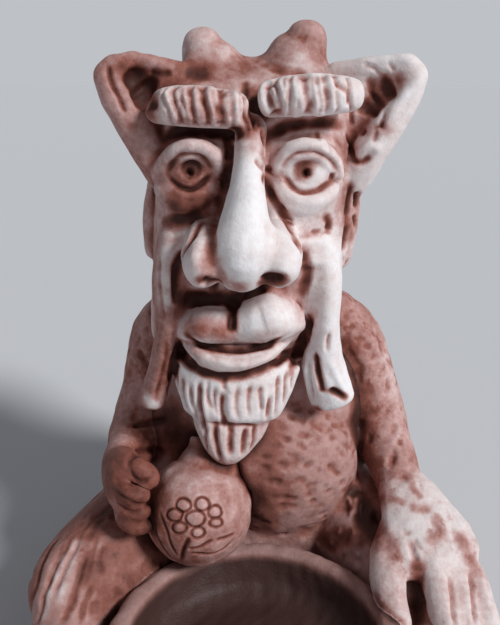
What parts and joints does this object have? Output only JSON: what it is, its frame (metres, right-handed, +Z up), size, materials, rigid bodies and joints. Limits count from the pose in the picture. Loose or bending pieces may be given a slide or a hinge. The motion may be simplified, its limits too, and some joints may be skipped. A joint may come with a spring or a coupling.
{
  "type": "satyr statue",
  "caption": "Hand-built clay figure of a seated horned satyr with pointed ears, a long nose and a combed beard, holding a jug behind a shallow round dish.",
  "frame": {"origin": "middle of the flat underside of the slab, on the figure's own midline", "axes": "+Z up, the figure faces -Y, +X is the figure's left (the viewer's right)"},
  "size_m": [0.116, 0.123, 0.1546],
  "materials": {
    "pale_clay": "matte",
    "red_clay": "matte",
    "dark_clay": "satin"
  },
  "bodies": {
    "root": {"base_slab": "red_clay", "dish": "dark_clay", "torso": "red_clay", "belly": "red_clay", "head": "pale_clay", "horn_left": "pale_clay", "horn_right": "pale_clay", "ear_left": "pale_clay", "ear_right": "pale_clay", "brow_left": "pale_clay", "brow_right": "pale_clay", "eyeball_left": "pale_clay", "eyeball_right": "pale_clay", "upper_lid_left": "pale_clay", "upper_lid_right": "pale_clay", "lower_lid_left": "pale_clay", "lower_lid_right": "pale_clay", "nose": "pale_clay", "nostril_left": "pale_clay", "nostril_right": "pale_clay", "upper_lip": "pale_clay", "lower_lip": "pale_clay", "whisker_left": "pale_clay", "whisker_right": "pale_clay", "sidelock_left": "pale_clay", "sidelock_right": "pale_clay", "beard": "pale_clay", "beard_tip": "pale_clay", "arm_left": "pale_clay", "arm_right": "pale_clay", "hand_left": "pale_clay", "hand_right": "pale_clay", "thumb_left": "pale_clay", "thumb_right": "pale_clay", "fingers_left": "pale_clay", "fingers_right": "pale_clay", "jug": "pale_clay", "thigh_left": "red_clay", "thigh_right": "red_clay", "shin_left": "red_clay", "shin_right": "red_clay", "hoof_left": "red_clay", "hoof_right": "red_clay"}
  },
  "joints": []
}
